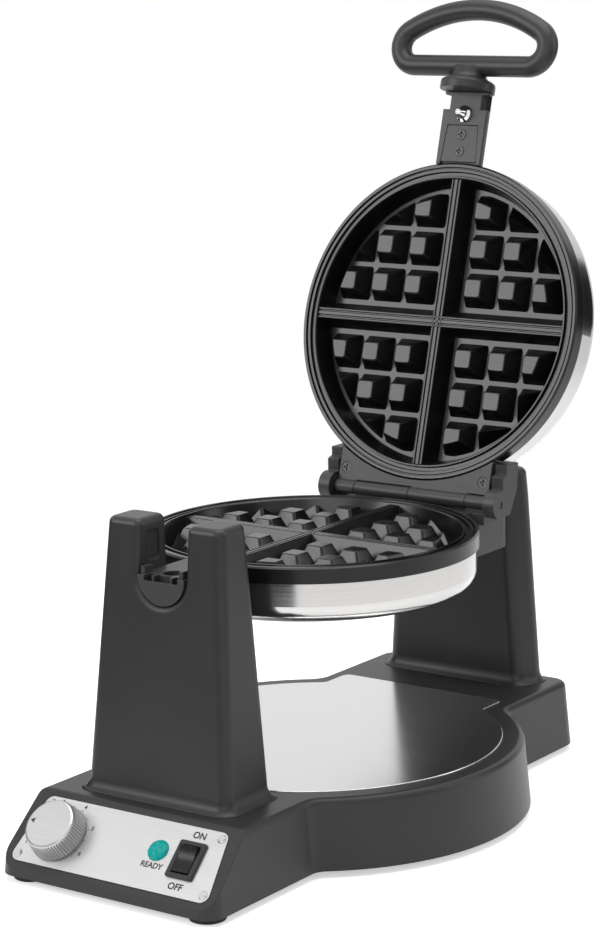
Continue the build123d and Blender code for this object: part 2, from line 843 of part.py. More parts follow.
# Arm that carries the upper half of the front journal
with BuildPart() as arm_shut:
    with BuildSketch(facing_front(-90)):
        with Locations((0, 0.4)):
            Circle(journal_radius - 0.4)
        with Locations((0, -19.6)):
            Rectangle(60, 40, mode=Mode.SUBTRACT)
    extrude(amount=55)
    with BuildSketch(Plane.XY.offset(face_height)):
        Circle(rim_radius + 0.2)
    extrude(amount=rim_height + 0.3, mode=Mode.SUBTRACT)
    with BuildSketch(Plane.XY.offset(face_height)):
        Circle(band_radius)
    extrude(amount=30, mode=Mode.SUBTRACT)
    # Side reliefs for the centring tabs
    for side in (-1, 1):
        with BuildSketch(Plane(origin=(side * 16.4, -138.6, face_height))):
            Rectangle(10.4, 9.4)
        extrude(amount=8, mode=Mode.SUBTRACT)
    # Seat for the cover plate and its screws
    with BuildSketch(Plane.XY.offset(face_height)):
        with BuildLine():
            Polyline((-13.2, -99), (-11.2, -124.2), (11.2, -124.2), (13.2, -99), close=True)
        make_face()
    extrude(amount=2.2, mode=Mode.SUBTRACT)
    with BuildSketch(Plane.XY.offset(face_height)):
        with Locations((0, -107.6), (0, -118)):
            Circle(1.75)
    extrude(amount=10, mode=Mode.SUBTRACT)
    with BuildSketch(Plane.XY.offset(face_height)):
        with Locations((0, -131)):
            Circle(2.5)
    extrude(amount=8, mode=Mode.SUBTRACT)

with BuildPart() as handle_arm:
    add(arm_shut.part.moved(lid_open))
handle_arm.part.label = "handle_arm"
export_step(handle_arm.part, "parts/handle_arm.step")

with BuildPart() as cover_shut:
    with BuildSketch(Plane.XY.offset(face_height + 0.2)) as cover_plan:
        with BuildLine():
            Polyline((-12.9, -100.8), (-10.95, -123.9), (10.95, -123.9), (12.9, -100.8), close=True)
        make_face()
        fillet(cover_plan.vertices(), 0.8)
        Circle(rim_radius + 0.2, mode=Mode.SUBTRACT)
    extrude(amount=2.0)
    with BuildSketch(Plane.XY.offset(face_height)):
        with Locations((0, -107.6), (0, -118)):
            Circle(3.3)
    extrude(amount=1.4, mode=Mode.SUBTRACT)
    with BuildSketch(Plane.XY.offset(face_height)):
        with Locations((0, -107.6), (0, -118)):
            Circle(1.75)
    extrude(amount=10, mode=Mode.SUBTRACT)

with BuildPart() as arm_cover:
    add(cover_shut.part.moved(lid_open))
arm_cover.part.label = "arm_cover"
export_step(arm_cover.part, "parts/arm_cover.step")

with BuildPart() as arm_screws:
    add(cross_screws([(0, -107.6), (0, -118)], face_height - 0.2, 3.2, 7).moved(lid_open))
arm_screws.part.label = "arm_screws"
export_step(arm_screws.part, "parts/arm_screws.step")

# Chrome stud that drops into the lower journal
with BuildPart() as stud_shut:
    with BuildSketch(Plane.YZ):
        with BuildLine():
            Polyline(
                (-131, face_height + 7.5),
                (-128.5, face_height + 7.5),
                (-128.5, face_height),
                (-125.8, face_height),
                (-125.8, face_height - 1.6),
                (-127.4, face_height - 3.0),
                (-127.4, face_height - 4.6),
                (-129.2, face_height - 8.0),
                (-131, face_height - 8.6),
                close=True,
            )
        make_face()
    revolve(axis=Axis((0, -131, 0), (0, 0, 1)))

with BuildPart() as centring_stud:
    add(stud_shut.part.moved(lid_open))
centring_stud.part.label = "centring_stud"
export_step(centring_stud.part, "parts/centring_stud.step")

# D shaped loop handle with its flared neck
with BuildPart() as loop_shut:
    with BuildLine(Plane.XY.offset(split_height)) as loop_path:
        bar = Line((0, -161.5), (41.5, -161.5))
        corner = JernArc(bar @ 1, bar % 1, 12, -148.7)
        arch_radius = (corner @ 1).X / math.sin(math.radians(31.3))
        JernArc(corner @ 1, corner % 1, arch_radius, -31.3)
        mirror(about=Plane.YZ)
    with BuildSketch(Plane(origin=(0, -161.5, split_height), z_dir=(1, 0, 0))):
        Circle(6.6)
    sweep(path=loop_path.wires()[0])
    with BuildSketch(Plane.XY.offset(split_height)):
        with BuildLine():
            foot = Polyline((0, -145.3), (17.3, -145.3), (17.3, -149.2))
            flare = Spline(foot @ 1, (12.6, -153.2), (9.6, -160.5), tangents=((0, -1), (-0.4, -1)))
            Polyline(flare @ 1, (0, -160.5), (0, -145.3))
        make_face()
    revolve(axis=flip_axis)
with BuildPart() as handle:
    add(loop_shut.part.moved(lid_open))
handle.part.label = "handle"
export_step(handle.part, "parts/handle.step")
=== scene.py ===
"""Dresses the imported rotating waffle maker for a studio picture.

Each sub-assembly is a class with its sizes, a build method for the pieces that it
adds and a dress method that gives its solids their finishes.
"""

import json
import logging
import math
from dataclasses import dataclass
from enum import Enum
from typing import Dict, List, Optional, Sequence, Tuple, Union

import bmesh
import bpy
from mathutils import Matrix, Vector

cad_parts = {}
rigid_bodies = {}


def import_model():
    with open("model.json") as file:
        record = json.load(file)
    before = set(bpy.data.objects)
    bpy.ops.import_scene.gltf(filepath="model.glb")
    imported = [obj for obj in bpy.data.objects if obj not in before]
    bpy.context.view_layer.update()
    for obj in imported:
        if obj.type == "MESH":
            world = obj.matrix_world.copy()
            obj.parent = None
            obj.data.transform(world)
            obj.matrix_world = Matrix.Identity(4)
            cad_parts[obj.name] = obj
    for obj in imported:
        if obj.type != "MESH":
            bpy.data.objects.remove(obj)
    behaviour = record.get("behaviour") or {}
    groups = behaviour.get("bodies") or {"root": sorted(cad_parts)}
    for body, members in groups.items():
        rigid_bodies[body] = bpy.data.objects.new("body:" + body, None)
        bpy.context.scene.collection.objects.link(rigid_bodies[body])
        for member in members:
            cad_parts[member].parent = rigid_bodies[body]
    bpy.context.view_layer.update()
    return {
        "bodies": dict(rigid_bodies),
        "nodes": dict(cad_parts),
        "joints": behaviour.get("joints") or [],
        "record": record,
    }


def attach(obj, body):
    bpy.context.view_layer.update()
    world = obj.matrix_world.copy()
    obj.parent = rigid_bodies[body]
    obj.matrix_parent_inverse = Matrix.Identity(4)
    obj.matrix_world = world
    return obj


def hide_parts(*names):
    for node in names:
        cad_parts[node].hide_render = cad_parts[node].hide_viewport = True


logging.basicConfig(level=logging.INFO, format="%(levelname)s %(message)s")
log = logging.getLogger("waffle_maker")

Colour = Tuple[float, float, float]


def mm(value: float) -> float:
    """Turns millimetres into metres.

    Args:
        value: A length in millimetres.

    Returns:
        The same length in metres.
    """
    return value / 1000.0


class Body(Enum):
    """Moving groups of the object that pieces ride on."""

    BASE = "base"
    DIAL = "knob_turn"
    IRON = "iron"
    LID = "lid"


class Grain(Enum):
    """Ways that a metal finish can be brushed."""

    ALONG_X = "along_x"
    ROUND_Z = "round_z"
    ROUND_LID = "round_lid"
    CONTROL = "control"


# Geometry that the pieces share with the solids, in millimetres and degrees
TO_METRES = Matrix.Scale(0.001, 4)
PANEL_ORIGIN = Vector((0.0, -199.0, 12.5))
PANEL_ANGLE = 44.3
SPLIT_HEIGHT = 171.0
HINGE = Vector((0.0, 109.3, 172.3))
LID_ANGLE = 105.9
LID_GAP = 0.4
PLATE_FACE = 0.4
PRINT_LIFT = 0.04
KNOB_PLACE = (-44.0, 20.3)
KNOB_LIFT = 1.0

# Settings that every piece or finish shares
SHARP_ANGLE = math.radians(14.0)
MERGE_DISTANCE = 0.0001
COAT_ROUGHNESS = 0.12
SLOW_SCALE = 22.0
BUMP_DEPTH = 0.1
BRUSH_SCALES: Dict[Grain, Tuple[float, float, float]] = {
    Grain.ALONG_X: (6.0, 1500.0, 20.0),
    Grain.ROUND_Z: (7.0, 7.0, 1900.0),
    Grain.ROUND_LID: (7.0, 7.0, 1900.0),
    Grain.CONTROL: (12.0, 2200.0, 20.0),
}
BRUSH_TURNS: Dict[Grain, Tuple[float, float, float]] = {
    Grain.ALONG_X: (0.0, 0.0, 0.0),
    Grain.ROUND_Z: (0.0, 0.0, 0.0),
    Grain.ROUND_LID: (math.radians(LID_ANGLE), 0.0, 0.0),
    Grain.CONTROL: (-math.radians(PANEL_ANGLE), 0.0, 0.0),
}


class Nodes:
    """Small helper that adds and links shader nodes."""

    def __init__(self, owner: Union[bpy.types.Material, bpy.types.World]) -> None:
        """Keeps the owner's tree.

        Args:
            owner: The material or world whose nodes are made.
        """
        self.tree = owner.node_tree

    def add(self, kind: str, **settings: object) -> bpy.types.Node:
        """Adds a node and sets its properties.

        Args:
            kind: The node's Blender type name.
            **settings: Values of the node's properties.

        Returns:
            The new node.
        """
        node = self.tree.nodes.new(kind)
        for name, value in settings.items():
            setattr(node, name, value)
        return node

    def link(self, source: bpy.types.NodeSocket, target: bpy.types.NodeSocket) -> None:
        """Links two sockets.

        Args:
            source: The output socket.
            target: The input socket.
        """
        self.tree.links.new(source, target)

    def ramp(self, source: bpy.types.NodeSocket, low: float, high: float) -> bpy.types.NodeSocket:
        """Maps a 0 to 1 value to a range.

        Args:
            source: The socket that gives the value.
            low: The result at 0.2.
            high: The result at 0.8.

        Returns:
            The mapped value.
        """
        node = self.add("ShaderNodeMapRange")
        node.inputs["From Min"].default_value = 0.2
        node.inputs["From Max"].default_value = 0.8
        node.inputs["To Min"].default_value = low
        node.inputs["To Max"].default_value = high
        self.link(source, node.inputs["Value"])
        return node.outputs["Result"]


@dataclass(frozen=True)
class Finish:
    """A surface finish with colour, gloss and fine texture.

    Attributes:
        name: Name of the material.
        base: Main colour.
        second: Colour that the slow variation moves towards.
        roughness: Lowest and highest roughness.
        metallic: How metallic the surface is.
        texture: Scale of the fine texture.
        relief: Strength of the fine relief.
        edge: Radius in millimetres by which sharp edges are softened.
        coat: Strength of a clear coat.
        specular: Strength of the plain reflection.
        grain: Way that the metal is brushed, if it is.
    """

    name: str
    base: Colour
    second: Colour
    roughness: Tuple[float, float] = (0.35, 0.45)
    metallic: float = 0.0
    texture: float = 900.0
    relief: float = 0.06
    edge: float = 0.6
    coat: float = 0.0
    specular: float = 0.5
    grain: Optional[Grain] = None

    def coordinates(self, nodes: Nodes) -> bpy.types.NodeSocket:
        """Makes the coordinates that the fine texture reads.

        Args:
            nodes: Helper of the material.

        Returns:
            The coordinate socket.
        """
        source = nodes.add("ShaderNodeTexCoord")
        if self.grain is None:
            return source.outputs["Object"]
        rotate = nodes.add("ShaderNodeMapping")
        rotate.inputs["Rotation"].default_value = BRUSH_TURNS[self.grain]
        nodes.link(source.outputs["Object"], rotate.inputs["Vector"])
        scale = nodes.add("ShaderNodeMapping")
        scale.inputs["Scale"].default_value = BRUSH_SCALES[self.grain]
        nodes.link(rotate.outputs["Vector"], scale.inputs["Vector"])
        return scale.outputs["Vector"]

    def build(self) -> bpy.types.Material:
        """Makes the material.

        Returns:
            The node material.
        """
        material = bpy.data.materials.new(self.name)
        material.use_nodes = True
        nodes = Nodes(material)
        shader = material.node_tree.nodes["Principled BSDF"]
        shader.inputs["Metallic"].default_value = self.metallic
        shader.inputs["Coat Weight"].default_value = self.coat
        shader.inputs["Coat Roughness"].default_value = COAT_ROUGHNESS
        shader.inputs["Specular IOR Level"].default_value = self.specular
        place = nodes.add("ShaderNodeTexCoord").outputs["Object"]
        slow = nodes.add("ShaderNodeTexNoise")
        slow.inputs["Scale"].default_value = SLOW_SCALE
        slow.inputs["Detail"].default_value = 3.0
        nodes.link(place, slow.inputs["Vector"])
        fine = nodes.add("ShaderNodeTexNoise")
        fine.inputs["Scale"].default_value = 1.0 if self.grain else self.texture
        fine.inputs["Detail"].default_value = 4.0
        nodes.link(self.coordinates(nodes), fine.inputs["Vector"])
        blend = nodes.add("ShaderNodeMix", data_type="RGBA")
        blend.inputs["A"].default_value = (*self.base, 1.0)
        blend.inputs["B"].default_value = (*self.second, 1.0)
        weight = nodes.add("ShaderNodeMath", operation="MULTIPLY")
        drift = slow if self.grain is None else fine
        nodes.link(drift.outputs["Fac"], weight.inputs[0])
        nodes.link(nodes.ramp(fine.outputs["Fac"], 0.6, 1.0), weight.inputs[1])
        nodes.link(weight.outputs["Value"], blend.inputs["Factor"])
        nodes.link(blend.outputs["Result"], shader.inputs["Base Color"])
        nodes.link(nodes.ramp(fine.outputs["Fac"], *self.roughness), shader.inputs["Roughness"])
        soft = nodes.add("ShaderNodeBevel", samples=4)
        soft.inputs["Radius"].default_value = mm(self.edge)
        bump = nodes.add("ShaderNodeBump")
        bump.inputs["Strength"].default_value = self.relief
        bump.inputs["Distance"].default_value = mm(BUMP_DEPTH)
        nodes.link(fine.outputs["Fac"], bump.inputs["Height"])
        nodes.link(soft.outputs["Normal"], bump.inputs["Normal"])
        nodes.link(bump.outputs["Normal"], shader.inputs["Normal"])
        return material


FINISHES: Tuple[Finish, ...] = (
    Finish("satin_plastic", (0.020, 0.020, 0.021), (0.034, 0.034, 0.035), (0.34, 0.42), texture=1500.0,
           relief=0.10, edge=1.0, specular=0.32),
    Finish("rubber", (0.010, 0.010, 0.010), (0.020, 0.020, 0.020), (0.70, 0.85), relief=0.2),
    Finish("tray_steel", (0.66, 0.66, 0.66), (0.76, 0.76, 0.76), (0.15, 0.24), 1.0, relief=0.03, edge=0.2,
           grain=Grain.ALONG_X),
    Finish("band_steel", (0.52, 0.51, 0.50), (0.60, 0.59, 0.58), (0.12, 0.20), 1.0, relief=0.02, edge=0.2,
           grain=Grain.ROUND_Z),
    Finish("lid_steel", (0.52, 0.51, 0.50), (0.60, 0.59, 0.58), (0.12, 0.20), 1.0, relief=0.02, edge=0.2,
           grain=Grain.ROUND_LID),
    Finish("control_steel", (0.50, 0.50, 0.50), (0.60, 0.60, 0.60), (0.34, 0.46), 0.85, relief=0.03,
           edge=0.3, grain=Grain.CONTROL),
    Finish("coated_casting", (0.003, 0.003, 0.003), (0.007, 0.007, 0.007), (0.20, 0.27), texture=1100.0,
           relief=0.05, edge=0.25, specular=0.38),
    Finish("dark_casting", (0.022, 0.022, 0.023), (0.036, 0.036, 0.037), (0.40, 0.52), texture=700.0,
           relief=0.12, edge=0.7),
    Finish("chrome", (0.86, 0.86, 0.87), (0.78, 0.78, 0.79), (0.04, 0.09), 1.0, texture=200.0, relief=0.02,
           edge=0.3),
    Finish("knob_silver", (0.48, 0.48, 0.48), (0.58, 0.58, 0.58), (0.28, 0.38), 0.8, relief=0.05, edge=0.3,
           grain=Grain.CONTROL),
    Finish("gloss_black", (0.006, 0.006, 0.006), (0.012, 0.012, 0.012), (0.22, 0.30), texture=400.0,
           relief=0.02, edge=0.6, specular=0.25),
    Finish("screw_steel", (0.03, 0.03, 0.03), (0.05, 0.05, 0.05), (0.30, 0.42), 0.6, texture=600.0,
           relief=0.08, edge=0.3),
    Finish("zinc", (0.42, 0.42, 0.43), (0.55, 0.55, 0.55), (0.30, 0.45), 1.0, texture=500.0, relief=0.06),
    Finish("sintered_bush", (0.50, 0.36, 0.18), (0.58, 0.44, 0.24), (0.35, 0.5), 1.0, texture=900.0,
           relief=0.1),
    Finish("print_black", (0.010, 0.010, 0.010), (0.016, 0.016, 0.016), (0.45, 0.55), texture=1500.0,
           relief=0.03, edge=0.05),
    Finish("ready_green", (0.0, 0.22, 0.20), (0.0, 0.42, 0.38), (0.12, 0.20), texture=300.0, relief=0.05,
           edge=0.15, specular=0.2),
)


class Workshop:
    """Keeps the materials and puts pieces on the frame."""

    def __init__(self, frame: Dict[str, object]) -> None:
        """Builds every finish once.
        """
        self.frame = frame
        self.materials = {finish.name: finish.build() for finish in FINISHES}

    def paint(self, names: Sequence[str], finish: str) -> None:
        """Gives CAD nodes a finish.

        Args:
            names: The nodes.
            finish: Name of the finish.
        """
        for name in names:
            slots = self.frame["nodes"][name].material_slots
            for slot in slots:
                slot.material = self.materials[finish]
            log.info("painted %s with %s", name, finish)

    def place(
        self,
        name: str,
        mesh: bmesh.types.BMesh,
        body: Body,
        finish: str,
        slot: str,
        smooth: bool = True,
    ) -> bpy.types.Object:
        """Turns a bmesh into a piece that rides on a body.

        Args:
            name: Name of the piece.
            mesh: Its shape, in metres in the object's frame; it is freed.
            body: The body that it rides on.
            finish: Name of its finish.
            slot: Material slot of the record that it stands for; not used.
            smooth: Whether its faces are shaded smooth.

        Returns:
            The new object.
        """
        data = bpy.data.meshes.new(name)
        bmesh.ops.recalc_face_normals(mesh, faces=mesh.faces)
        mesh.to_mesh(data)
        mesh.free()
        for polygon in data.polygons:
            polygon.use_smooth = smooth
        if smooth:
            data.set_sharp_from_angle(angle=SHARP_ANGLE)
        piece = bpy.data.objects.new(name, data)
        bpy.context.scene.collection.objects.link(piece)
        data.materials.append(self.materials[finish])
        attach(piece, body.value)
        log.info("placed %s on %s with %d faces", name, body.value, len(data.polygons))
        return piece


def control_matrix(across: float, up: float, out: float) -> Matrix:
    """Place on the sloped control face.

    Args:
        across: Distance to the right of the face's middle, in millimetres.
        up: Distance up the slope from its lower edge, in millimetres.
        out: Height over the moulded face, in millimetres.

    Returns:
        The matrix from millimetres there to metres in the object's frame.
    """
    tilt = Matrix.Rotation(math.radians(PANEL_ANGLE), 4, "X")
    spot = PANEL_ORIGIN + tilt @ Vector((across, up, out))
    return TO_METRES @ Matrix.Translation(spot) @ tilt


def join_mesh(shape: bmesh.types.BMesh, part: bmesh.types.BMesh) -> None:
    """Adds one shape to another and frees it.

    Args:
        shape: The shape that grows.
        part: The shape that joins it.
    """
    data = bpy.data.meshes.new("part")
    part.to_mesh(data)
    part.free()
    shape.from_mesh(data)
    bpy.data.meshes.remove(data)


def spin_outline(shape: bmesh.types.BMesh, points: Sequence[Tuple[float, float]], steps: int) -> None:
    """Turns an outline round the Z axis into a closed skin.

    Args:
        shape: The empty shape that it fills.
        points: Radius and height of each point.
        steps: Number of steps in the turn.
    """
    verts = [shape.verts.new((radius, 0.0, height)) for radius, height in points]
    for first, second in zip(verts, verts[1:]):
        shape.edges.new((first, second))
    bmesh.ops.spin(
        shape, geom=shape.verts[:] + shape.edges[:], cent=(0, 0, 0), axis=(0, 0, 1),
        angle=2.0 * math.pi, steps=steps, use_merge=True)
    bmesh.ops.remove_doubles(shape, verts=shape.verts, dist=MERGE_DISTANCE)


@dataclass(frozen=True)
class Mark:
    """A word or figure printed on the control plate.

    Attributes:
        name: Name of the piece.
        text: What it reads.
        across: Place to the right of the middle.
        up: Place up the slope.
        height: Height of its capitals.
    """

    name: str
    text: str
    across: float
    up: float
    height: float


@dataclass
class ControlPanel:
    """The sloped control plate with its dial print, lamp and switch, in millimetres."""

    words: Tuple[Mark, ...] = (
        Mark("word_on", "ON", 45.7, 37.2, 4.0),
        Mark("word_off", "OFF", 45.4, 5.6, 4.0),
        Mark("word_ready", "READY", 24.3, 14.6, 3.4),
    )
    size_per_capital: float = 1.38
    boldness: float = 0.036
    print_depth: float = 0.03
    figures: int = 6
    figure_radius: float = 21.2
    figure_height: float = 2.6
    first_angle: float = 203.0
    figure_step: float = 45.5
    up_squeeze: float = 0.98
    tick_radius: float = 18.3
    tick_lengths: Tuple[float, float] = (1.7, 1.0)
    tick_width: float = 0.28
    tick_depth: float = 0.06
    lens_place: Tuple[float, float] = (24.2, 23.9)
    lens_radius: float = 6.6
    lens_rise: float = 0.44
    lens_sides: int = 14
    lens_rows: int = 10
    facet_depth: float = 0.22
    facet_start: float = 0.4

    def dial_marks(self) -> List[Mark]:
        """Works out the figures around the dial.

        Returns:
            One mark for each figure.
        """
        marks = []
        for figure in range(1, self.figures + 1):
            angle = math.radians(self.first_angle - self.figure_step * (figure - 1))
            across = KNOB_PLACE[0] + self.figure_radius * math.cos(angle)
            up = KNOB_PLACE[1] + self.figure_radius * math.sin(angle) * self.up_squeeze
            marks.append(Mark(f"dial_figure_{figure}", str(figure), across, up, self.figure_height))
        return marks

    def write(self, shop: Workshop, mark: Mark) -> None:
        """Prints one mark on the plate.

        Args:
            shop: The workshop.
            mark: What is printed and where.
        """
        curve = bpy.data.curves.new(mark.name, "FONT")
        curve.body = mark.text
        curve.align_x = "CENTER"
        curve.align_y = "CENTER"
        curve.size = mark.height * self.size_per_capital
        curve.extrude = self.print_depth
        curve.offset = mark.height * self.boldness
        holder = bpy.data.objects.new(mark.name + "_curve", curve)
        bpy.context.scene.collection.objects.link(holder)
        bpy.context.view_layer.update()
        shape = bmesh.new()
        data = bpy.data.meshes.new_from_object(holder)
        shape.from_mesh(data)
        bpy.data.meshes.remove(data)
        bpy.data.objects.remove(holder)
        bpy.data.curves.remove(curve)
        place = control_matrix(mark.across, mark.up, PLATE_FACE + PRINT_LIFT)
        bmesh.ops.transform(shape, matrix=place, verts=shape.verts)
        shop.place(mark.name, shape, Body.BASE, "print_black", "black_plastic", smooth=False)

    def ticks(self, shop: Workshop) -> None:
        """Prints the short lines between the knob and its figures.

        Args:
            shop: The workshop.
        """
        shape = bmesh.new()
        for step in range(2 * self.figures - 1):
            angle = math.radians(self.first_angle - self.figure_step / 2 * step)
            made = bmesh.ops.create_cube(shape, size=1.0)["verts"]
            bmesh.ops.scale(
                shape, vec=(self.tick_lengths[step % 2], self.tick_width, self.tick_depth), verts=made)
            reach = Matrix.Translation((self.tick_radius, 0, 0))
            bmesh.ops.transform(shape, matrix=Matrix.Rotation(angle, 4, "Z") @ reach, verts=made)
        place = control_matrix(*KNOB_PLACE, PLATE_FACE + PRINT_LIFT)
        bmesh.ops.transform(shape, matrix=place, verts=shape.verts)
        shop.place("dial_ticks", shape, Body.BASE, "print_black", "black_plastic", smooth=False)

    def lens(self, shop: Workshop) -> None:
        """Makes the faceted ready lamp lens.

        Args:
            shop: The workshop.
        """
        shape = bmesh.new()
        bmesh.ops.create_uvsphere(
            shape, u_segments=self.lens_sides, v_segments=self.lens_rows, radius=self.lens_radius)
        bmesh.ops.scale(shape, vec=(1.0, 1.0, self.lens_rise), verts=shape.verts)
        bmesh.ops.bisect_plane(
            shape, geom=shape.verts[:] + shape.edges[:] + shape.faces[:], plane_co=(0, 0, -0.02),
            plane_no=(0, 0, -1), clear_outer=True)
        bmesh.ops.contextual_create(shape, geom=[edge for edge in shape.edges if edge.is_boundary])
        for vert in shape.verts:
            side = round(math.atan2(vert.co.y, vert.co.x) * self.lens_sides / 2 / math.pi)
            if vert.co.z > self.facet_start and side % 2 == 0:
                vert.co.z -= self.facet_depth
        place = control_matrix(*self.lens_place, PLATE_FACE)
        bmesh.ops.transform(shape, matrix=place, verts=shape.verts)
        piece = shop.place("ready_gem", shape, Body.BASE, "ready_green", "lamp", smooth=False)
        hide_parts("ready_lens")

    def build(self, shop: Workshop) -> None:
        """Adds the print and the lens.

        Args:
            shop: The workshop.
        """
        for mark in self.dial_marks() + list(self.words):
            self.write(shop, mark)
        self.ticks(shop)
        self.lens(shop)

    def dress(self, shop: Workshop) -> None:
        """Paints the plate and what it carries.

        Args:
            shop: The workshop.
        """
        shop.paint(["control_panel"], "control_steel")
        shop.paint(["panel_rivets"], "knob_silver")
        shop.paint(["ready_lens"], "ready_green")
        shop.paint(["lamp_holder", "switch_housing"], "satin_plastic")
        shop.paint(["switch_rocker"], "gloss_black")


@dataclass
class BrowningKnob:
    """The ribbed browning knob and its spindle, in millimetres."""

    foot_radius: float = 17.3
    top_radius: float = 15.7
    face_radius: float = 14.9
    side_height: float = 10.9
    face_height: float = 12.1
    ribs: int = 60
    rib_steps: int = 4
    rib_depth: float = 1.0
    pointer_radius: float = 1.9
    pointer_reach: float = 11.0
    pointer_depth: float = 0.08

    def build(self, shop: Workshop) -> None:
        """Makes the ribbed knob and its pointer.

        Args:
            shop: The workshop.
        """
        shape = bmesh.new()
        segments = self.ribs * self.rib_steps
        bmesh.ops.create_circle(shape, segments=segments, radius=self.foot_radius)
        step = 2.0 * math.pi / segments
        ring = shape.edges[:]
        levels = [
            (self.foot_radius, 0.0, 1.0),
            (self.foot_radius - 0.2, 1.0, 1.0),
            (self.top_radius + 0.1, self.side_height - 0.8, 1.0),
            (self.top_radius - 0.3, self.side_height, 0.2),
            (self.face_radius, self.side_height + 0.7, 0.0),
            (self.face_radius - 0.9, self.face_height, 0.0),
            (self.face_radius * 0.55, self.face_height + 0.05, 0.0),
        ]
        for number, (radius, height, depth) in enumerate(levels):
            if number > 0:
                made = bmesh.ops.extrude_edge_only(shape, edges=ring)["geom"]
                ring = [part for part in made if isinstance(part, bmesh.types.BMEdge)]
            for vert in {vert for edge in ring for vert in edge.verts}:
                angle = math.atan2(vert.co.y, vert.co.x)
                low = int(round(angle / step)) % self.rib_steps >= self.rib_steps // 2
                reach = radius - (self.rib_depth * depth if low else 0.0)
                vert.co = Vector((reach * math.cos(angle), reach * math.sin(angle), height))
        bmesh.ops.contextual_create(shape, geom=ring)
        bmesh.ops.transform(shape, matrix=control_matrix(*KNOB_PLACE, KNOB_LIFT), verts=shape.verts)
        piece = shop.place(
            "ribbed_knob", shape, Body.DIAL, "knob_silver", "silver_plastic", smooth=False)
        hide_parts("knob")
        self.pointer(shop)

    def pointer(self, shop: Workshop) -> None:
        """Makes the printed pointer on the knob's face.

        Args:
            shop: The workshop.
        """
        pointer = bmesh.new()
        bmesh.ops.create_circle(pointer, segments=3, radius=self.pointer_radius, cap_ends=True)
        bmesh.ops.rotate(pointer, matrix=Matrix.Rotation(math.pi / 2, 3, "Z"), verts=pointer.verts)
        made = bmesh.ops.extrude_face_region(pointer, geom=pointer.faces[:])["geom"]
        top = [part for part in made if isinstance(part, bmesh.types.BMVert)]
        bmesh.ops.translate(pointer, vec=(0, 0, self.pointer_depth), verts=top)
        lift = KNOB_LIFT + self.face_height + 0.02
        place = control_matrix(KNOB_PLACE[0] - self.pointer_reach, KNOB_PLACE[1], lift)
        bmesh.ops.transform(pointer, matrix=place, verts=pointer.verts)
        shop.place("knob_pointer", pointer, Body.DIAL, "print_black", "black_plastic", smooth=False)

    def dress(self, shop: Workshop) -> None:
        """Paints the spindle and the thermostat.

        Args:
            shop: The workshop.
        """
        shop.paint(["knob"], "knob_silver")
        shop.paint(["thermostat_spindle", "thermostat_body"], "zinc")


@dataclass(frozen=True)
class Foot:
    """A round rubber foot, in millimetres.

    Attributes:
        middle: Middle of its outline.
        radius: Radius of its outline.
        screw: Middle of its screw, in its recess.
    """

    middle: Tuple[float, float]
    radius: float
    screw: Tuple[float, float]


@dataclass
class Base:
    """The moulded base with its posts, tray plate and feet, in millimetres."""

    feet: Tuple[Foot, ...] = (
        Foot((-62.0, -188.5), 10.4, (-60.0, -186.0)),
        Foot((62.0, -188.5), 10.4, (60.0, -186.0)),
        Foot((-108.0, 0.0), 8.4, (-108.0, 0.0)),
        Foot((108.0, 0.0), 8.4, (108.0, 0.0)),
        Foot((-50.0, 172.0), 8.4, (-50.0, 172.0)),
        Foot((50.0, 172.0), 8.4, (50.0, 172.0)),
    )
    recess_radius: float = 4.0
    recess_height: float = 2.2
    foot_height: float = 3.9
    foot_steps: int = 48

    def add_foot(self, shape: bmesh.types.BMesh, foot: Foot) -> None:
        """Adds one foot as a stack of rings.

        Args:
            shape: The shape that it joins.
            foot: Where it stands and how wide it is.
        """
        rings = [
            (foot.screw, self.recess_radius, self.recess_height),
            (foot.screw, self.recess_radius, 0.0),
            (foot.middle, foot.radius - 1.0, 0.0),
            (foot.middle, foot.radius - 0.3, 0.3),
            (foot.middle, foot.radius, 1.0),
            (foot.middle, foot.radius, self.foot_height),
        ]
        last: List[bmesh.types.BMVert] = []
        for (across, along), radius, height in rings:
            ring = []
            for step in range(self.foot_steps):
                angle = 2.0 * math.pi * step / self.foot_steps
                spot = (across + radius * math.cos(angle), along + radius * math.sin(angle), height)
                ring.append(shape.verts.new(spot))
            if last:
                for step in range(self.foot_steps):
                    after = (step + 1) % self.foot_steps
                    shape.faces.new((last[step], last[after], ring[after], ring[step]))
            else:
                shape.faces.new(list(reversed(ring)))
            last = ring
        shape.faces.new(last)

    def build(self, shop: Workshop) -> None:
        """Makes the rubber feet.

        Args:
            shop: The workshop.
        """
        shape = bmesh.new()
        for foot in self.feet:
            self.add_foot(shape, foot)
        bmesh.ops.transform(shape, matrix=TO_METRES, verts=shape.verts)
        piece = shop.place("rubber_feet", shape, Body.BASE, "rubber", "rubber")
        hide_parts("feet")

    def dress(self, shop: Workshop) -> None:
        """Paints the base.

        Args:
            shop: The workshop.
        """
        mouldings = ["base_shell", "base_pan", "front_post", "rear_post", "rear_post_cap"]
        shop.paint(mouldings, "satin_plastic")
        shop.paint(["drip_tray"], "tray_steel")
        shop.paint(["feet"], "rubber")
        shop.paint(["foot_screws", "post_screws"], "zinc")
        shop.paint(["rear_bush"], "sintered_bush")


